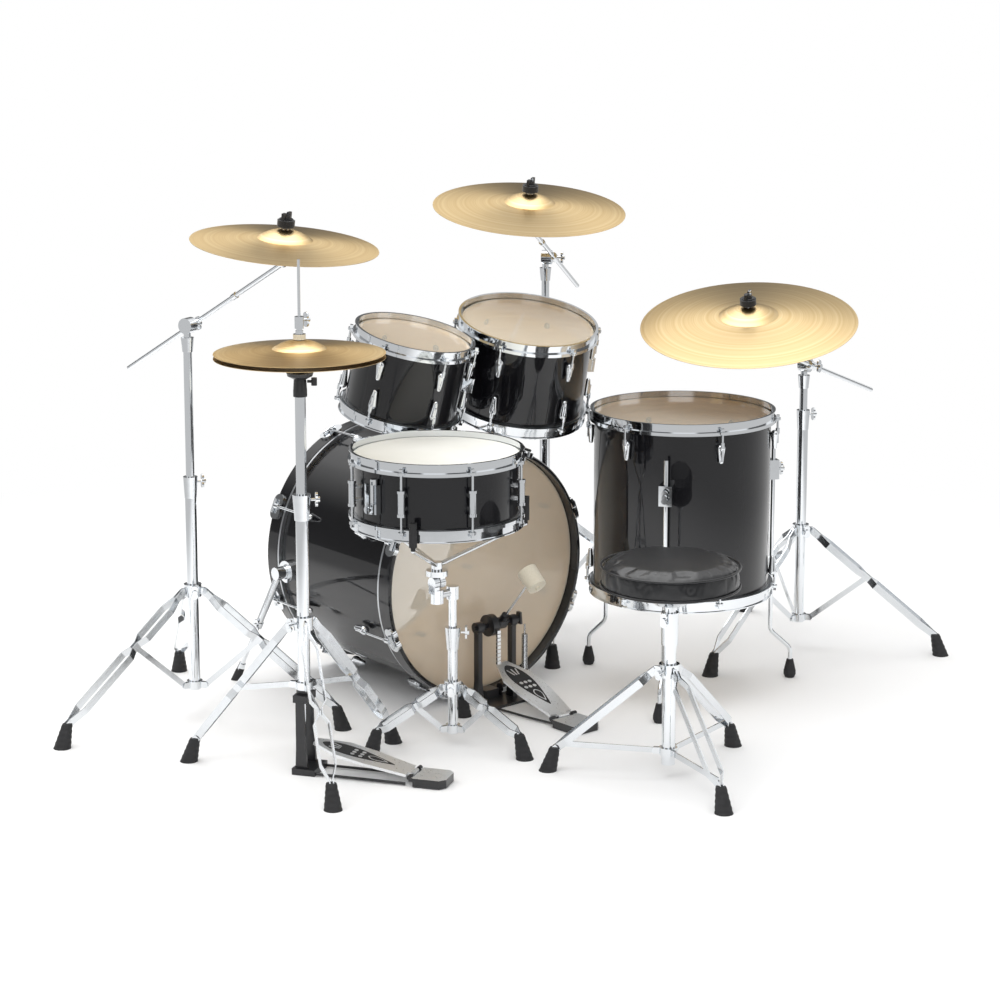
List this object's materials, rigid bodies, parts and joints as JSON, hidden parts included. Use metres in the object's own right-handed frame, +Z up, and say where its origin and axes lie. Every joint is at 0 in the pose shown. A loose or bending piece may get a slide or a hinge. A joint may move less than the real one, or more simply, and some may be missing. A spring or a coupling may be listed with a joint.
{
  "type": "acoustic drum kit",
  "caption": "Acoustic drum kit: bass drum, rack toms, floor tom and snare with hi-hat, crash and ride cymbals on boom stands, foot pedals and a round throne.",
  "frame": {"origin": "middle of the kit's bounding box in plan, on the floor", "axes": "+Z up, +Y from the drummer towards the audience, +X to the drummer's right"},
  "size_m": [2.0846, 1.669, 1.1723],
  "materials": {
    "shell_lacquer": "gloss",
    "drumhead_film": "satin",
    "chrome": "polished",
    "hoop_lacquer": "gloss",
    "black_casting": "satin",
    "cymbal_bronze": "lathed",
    "rubber": "matte",
    "felt": "napped",
    "vinyl": "satin",
    "snare_steel": "bright",
    "footboard_alloy": "polished"
  },
  "bodies": {
    "frame": {"bass_shell": "shell_lacquer", "bass_heads": "drumhead_film", "bass_hoops": "hoop_lacquer", "bass_claws": "chrome", "bass_fittings": "chrome", "tom_holder": "black_casting", "floor_tom_legs": "chrome", "rubber_feet": "rubber", "tripod_legs": "chrome", "tripod_hubs": "chrome", "lower_tubes": "chrome", "hihat_pedal_frame": "black_casting", "pedal_frame": "black_casting", "pedal_spring": "chrome"},
    "left_spur": {"left_spur": "chrome"},
    "right_spur": {"right_spur": "chrome"},
    "small_tom": {"small_tom_shell": "shell_lacquer", "small_tom_heads": "drumhead_film", "small_tom_hoops": "chrome", "small_tom_fittings": "chrome", "small_tom_strap": "chrome"},
    "middle_tom": {"middle_tom_shell": "shell_lacquer", "middle_tom_heads": "drumhead_film", "middle_tom_hoops": "chrome", "middle_tom_fittings": "chrome", "middle_tom_strap": "chrome"},
    "floor_tom": {"floor_tom_shell": "shell_lacquer", "floor_tom_heads": "drumhead_film", "floor_tom_hoops": "chrome", "floor_tom_fittings": "chrome"},
    "snare_post": {"snare_post": "chrome"},
    "snare": {"snare_shell": "shell_lacquer", "snare_heads": "drumhead_film", "snare_hoops": "chrome", "snare_fittings": "chrome", "snare_strainer": "chrome", "snare_wires": "snare_steel", "snare_basket": "chrome"},
    "strainer_lever": {"strainer_lever": "chrome"},
    "left_tube": {"left_tube": "chrome"},
    "left_boom": {"left_boom": "chrome"},
    "left_cymbal": {"left_cymbal": "cymbal_bronze"},
    "rear_tube": {"rear_tube": "chrome"},
    "rear_boom": {"rear_boom": "chrome"},
    "rear_cymbal": {"rear_cymbal": "cymbal_bronze"},
    "ride_tube": {"ride_tube": "chrome"},
    "ride_boom": {"ride_boom": "chrome"},
    "ride_cymbal": {"ride_cymbal": "cymbal_bronze"},
    "hihat_tube": {"hihat_tube": "chrome", "bottom_hihat": "cymbal_bronze"},
    "hihat_rod": {"hihat_rod": "chrome"},
    "hihat_clutch": {"hihat_clutch": "chrome", "top_hihat": "cymbal_bronze"},
    "hihat_footboard": {"hihat_footboard": "footboard_alloy"},
    "pedal_cam": {"pedal_cam": "chrome", "beater": "felt"},
    "pedal_footboard": {"pedal_footboard": "footboard_alloy"},
    "pedal_chain": {"pedal_chain": "snare_steel"},
    "throne_post": {"throne_post": "chrome"},
    "throne_seat": {"throne_seat": "vinyl"}
  },
  "joints": [
    {"name": "left_spur_fold", "type": "hinge", "parent": "frame", "child": "left_spur", "pos_m": [-0.38896, 0.48073, 0.274], "axis": [1, 0, 0], "range_deg": [0, 60]},
    {"name": "right_spur_fold", "type": "hinge", "parent": "frame", "child": "right_spur", "pos_m": [0.22904, 0.48073, 0.274], "axis": [1, 0, 0], "range_deg": [0, 60]},
    {"name": "small_tom_tilt", "type": "hinge", "parent": "frame", "child": "small_tom", "pos_m": [-0.10796, 0.33173, 0.79168], "axis": [1, 0, 0], "range_deg": [-6, 6]},
    {"name": "middle_tom_tilt", "type": "hinge", "parent": "frame", "child": "middle_tom", "pos_m": [-0.05196, 0.33173, 0.79128], "axis": [1, 0, 0], "range_deg": [-1, 6]},
    {"name": "floor_tom_height", "type": "slide", "parent": "frame", "child": "floor_tom", "axis": [0, 0, 1], "range_m": [-0.05, 0.04]},
    {"name": "snare_height", "type": "slide", "parent": "frame", "child": "snare_post", "axis": [0, 0, 1], "range_m": [-0.03, 0.04]},
    {"name": "snare_tilt", "type": "hinge", "parent": "snare_post", "child": "snare", "pos_m": [-0.39796, -0.10427, 0.368], "axis": [1, 0, 0], "range_deg": [0, 10]},
    {"name": "strainer_throw", "type": "hinge", "parent": "snare", "child": "strainer_lever", "pos_m": [-0.59883, -0.12361, 0.5625], "axis": [-0.9954, -0.0958, 0], "range_deg": [0, 95]},
    {"name": "left_stand_height", "type": "slide", "parent": "frame", "child": "left_tube", "axis": [0, 0, 1], "range_m": [-0.08, 0.06]},
    {"name": "left_boom_tilt", "type": "hinge", "parent": "left_tube", "child": "left_boom", "pos_m": [-0.66596, 0.43173, 0.892], "axis": [0.9455, 0.3257, 0], "range_deg": [-6, 6]},
    {"name": "left_cymbal_rock", "type": "hinge", "parent": "left_boom", "child": "left_cymbal", "pos_m": [-0.58046, 0.17756, 1.12113], "axis": [-0.9451, -0.3256, -0.0267], "range_deg": [-8, 8], "stiffness_Nm_per_rad": 4},
    {"name": "rear_stand_height", "type": "slide", "parent": "frame", "child": "rear_tube", "axis": [0, 0, 1], "range_m": [-0.08, 0.06]},
    {"name": "rear_boom_tilt", "type": "hinge", "parent": "rear_tube", "child": "rear_boom", "pos_m": [0.43204, 0.46873, 0.946], "axis": [0.6297, -0.7768, 0], "range_deg": [-6, 6]},
    {"name": "rear_cymbal_rock", "type": "hinge", "parent": "rear_boom", "child": "rear_cymbal", "pos_m": [0.2165, 0.28573, 1.13281], "axis": [-0.6274, 0.774, 0.0851], "range_deg": [-8, 8], "stiffness_Nm_per_rad": 5},
    {"name": "ride_stand_height", "type": "slide", "parent": "frame", "child": "ride_tube", "axis": [0, 0, 1], "range_m": [-0.04, 0.06]},
    {"name": "ride_boom_tilt", "type": "hinge", "parent": "ride_tube", "child": "ride_boom", "pos_m": [0.78204, -0.08227, 0.708], "axis": [0.2018, -0.9794, 0], "range_deg": [-6, 6]},
    {"name": "ride_cymbal_rock", "type": "hinge", "parent": "ride_boom", "child": "ride_cymbal", "pos_m": [0.51492, -0.14521, 0.88198], "axis": [-0.2009, 0.9748, 0.0966], "range_deg": [-8, 8], "stiffness_Nm_per_rad": 8},
    {"name": "hihat_height", "type": "slide", "parent": "frame", "child": "hihat_tube", "axis": [0, 0, 1], "range_m": [-0.05, 0.05]},
    {"name": "hihat_footboard_press", "type": "hinge", "parent": "frame", "child": "hihat_footboard", "pos_m": [-0.58552, -0.25469, 0.02], "axis": [0.8554, 0.518, 0], "range_deg": [0, 1.8]},
    {"name": "hihat_rod_pull", "type": "slide", "parent": "frame", "child": "hihat_rod", "axis": [0, 0, 1], "range_m": [-0.0074, 0], "stiffness_N_per_m": 1500, "springref_m": 0.03},
    {"name": "hihat_clutch_shift", "type": "slide", "parent": "hihat_rod", "child": "hihat_clutch", "axis": [0, 0, 1], "range_m": [-0.05, 0.05]},
    {"name": "pedal_footboard_press", "type": "hinge", "parent": "frame", "child": "pedal_footboard", "pos_m": [-0.08396, -0.16627, 0.019], "axis": [1, 0, 0], "range_deg": [-5.8, 0]},
    {"name": "pedal_shaft_turn", "type": "hinge", "parent": "frame", "child": "pedal_cam", "pos_m": [-0.08396, 0.05773, 0.186], "axis": [1, 0, 0], "range_deg": [-52, 0], "stiffness_Nm_per_rad": 1, "springref_deg": 28.65, "deforming": ["pedal_spring"]},
    {"name": "pedal_chain_pull", "type": "slide", "parent": "frame", "child": "pedal_chain", "axis": [0, 0, 1], "range_m": [-0.0197, 0]},
    {"name": "throne_height", "type": "slide", "parent": "frame", "child": "throne_post", "axis": [0, 0, 1], "range_m": [0, 0.1]},
    {"name": "throne_swivel", "type": "hinge", "parent": "throne_post", "child": "throne_seat", "pos_m": [-0.15696, -0.57327, 0.408], "axis": [0, 0, 1], "continuous": true}
  ],
  "couplings": [
    {"joint": "hihat_rod_pull", "follows": "hihat_footboard_press", "m_per_rad": -0.23396},
    {"joint": "hihat_clutch_shift", "follows": "hihat_height", "ratio": 1},
    {"joint": "pedal_shaft_turn", "follows": "pedal_footboard_press", "ratio": 8.9483},
    {"joint": "pedal_chain_pull", "follows": "pedal_footboard_press", "m_per_rad": 0.19362}
  ]
}
